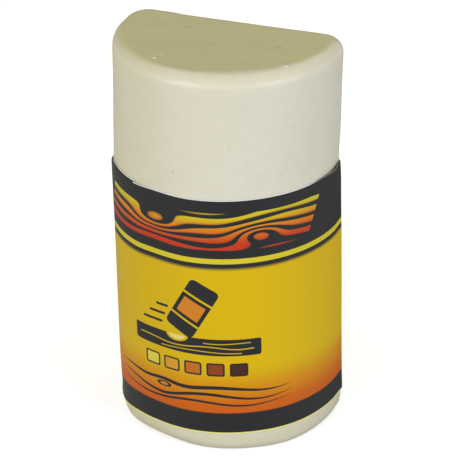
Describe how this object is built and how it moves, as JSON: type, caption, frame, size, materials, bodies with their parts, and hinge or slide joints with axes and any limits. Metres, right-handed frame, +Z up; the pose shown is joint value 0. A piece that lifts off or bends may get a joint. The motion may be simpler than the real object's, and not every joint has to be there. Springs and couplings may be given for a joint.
{
  "type": "furniture repair wax stick",
  "caption": "Moulded block of pale filler wax with a half-round front, flat back and soft edges, in a printed wrap-round label lapped over its own end.",
  "frame": {"origin": "middle of the foot, halfway across the width and halfway between the front of the half-round and the flat back, label included", "axes": "+Z up from the foot to the top face, +X towards the right of the label's front, +Y from the half-round front to the flat back"},
  "size_m": [0.0282, 0.0186, 0.0508],
  "materials": {
    "wax": "satin",
    "adhesive": "satin",
    "printed_label": "satin"
  },
  "bodies": {
    "root": {"wax_block": "wax", "label_adhesive": "adhesive", "label_sheet": "printed_label"}
  },
  "joints": []
}
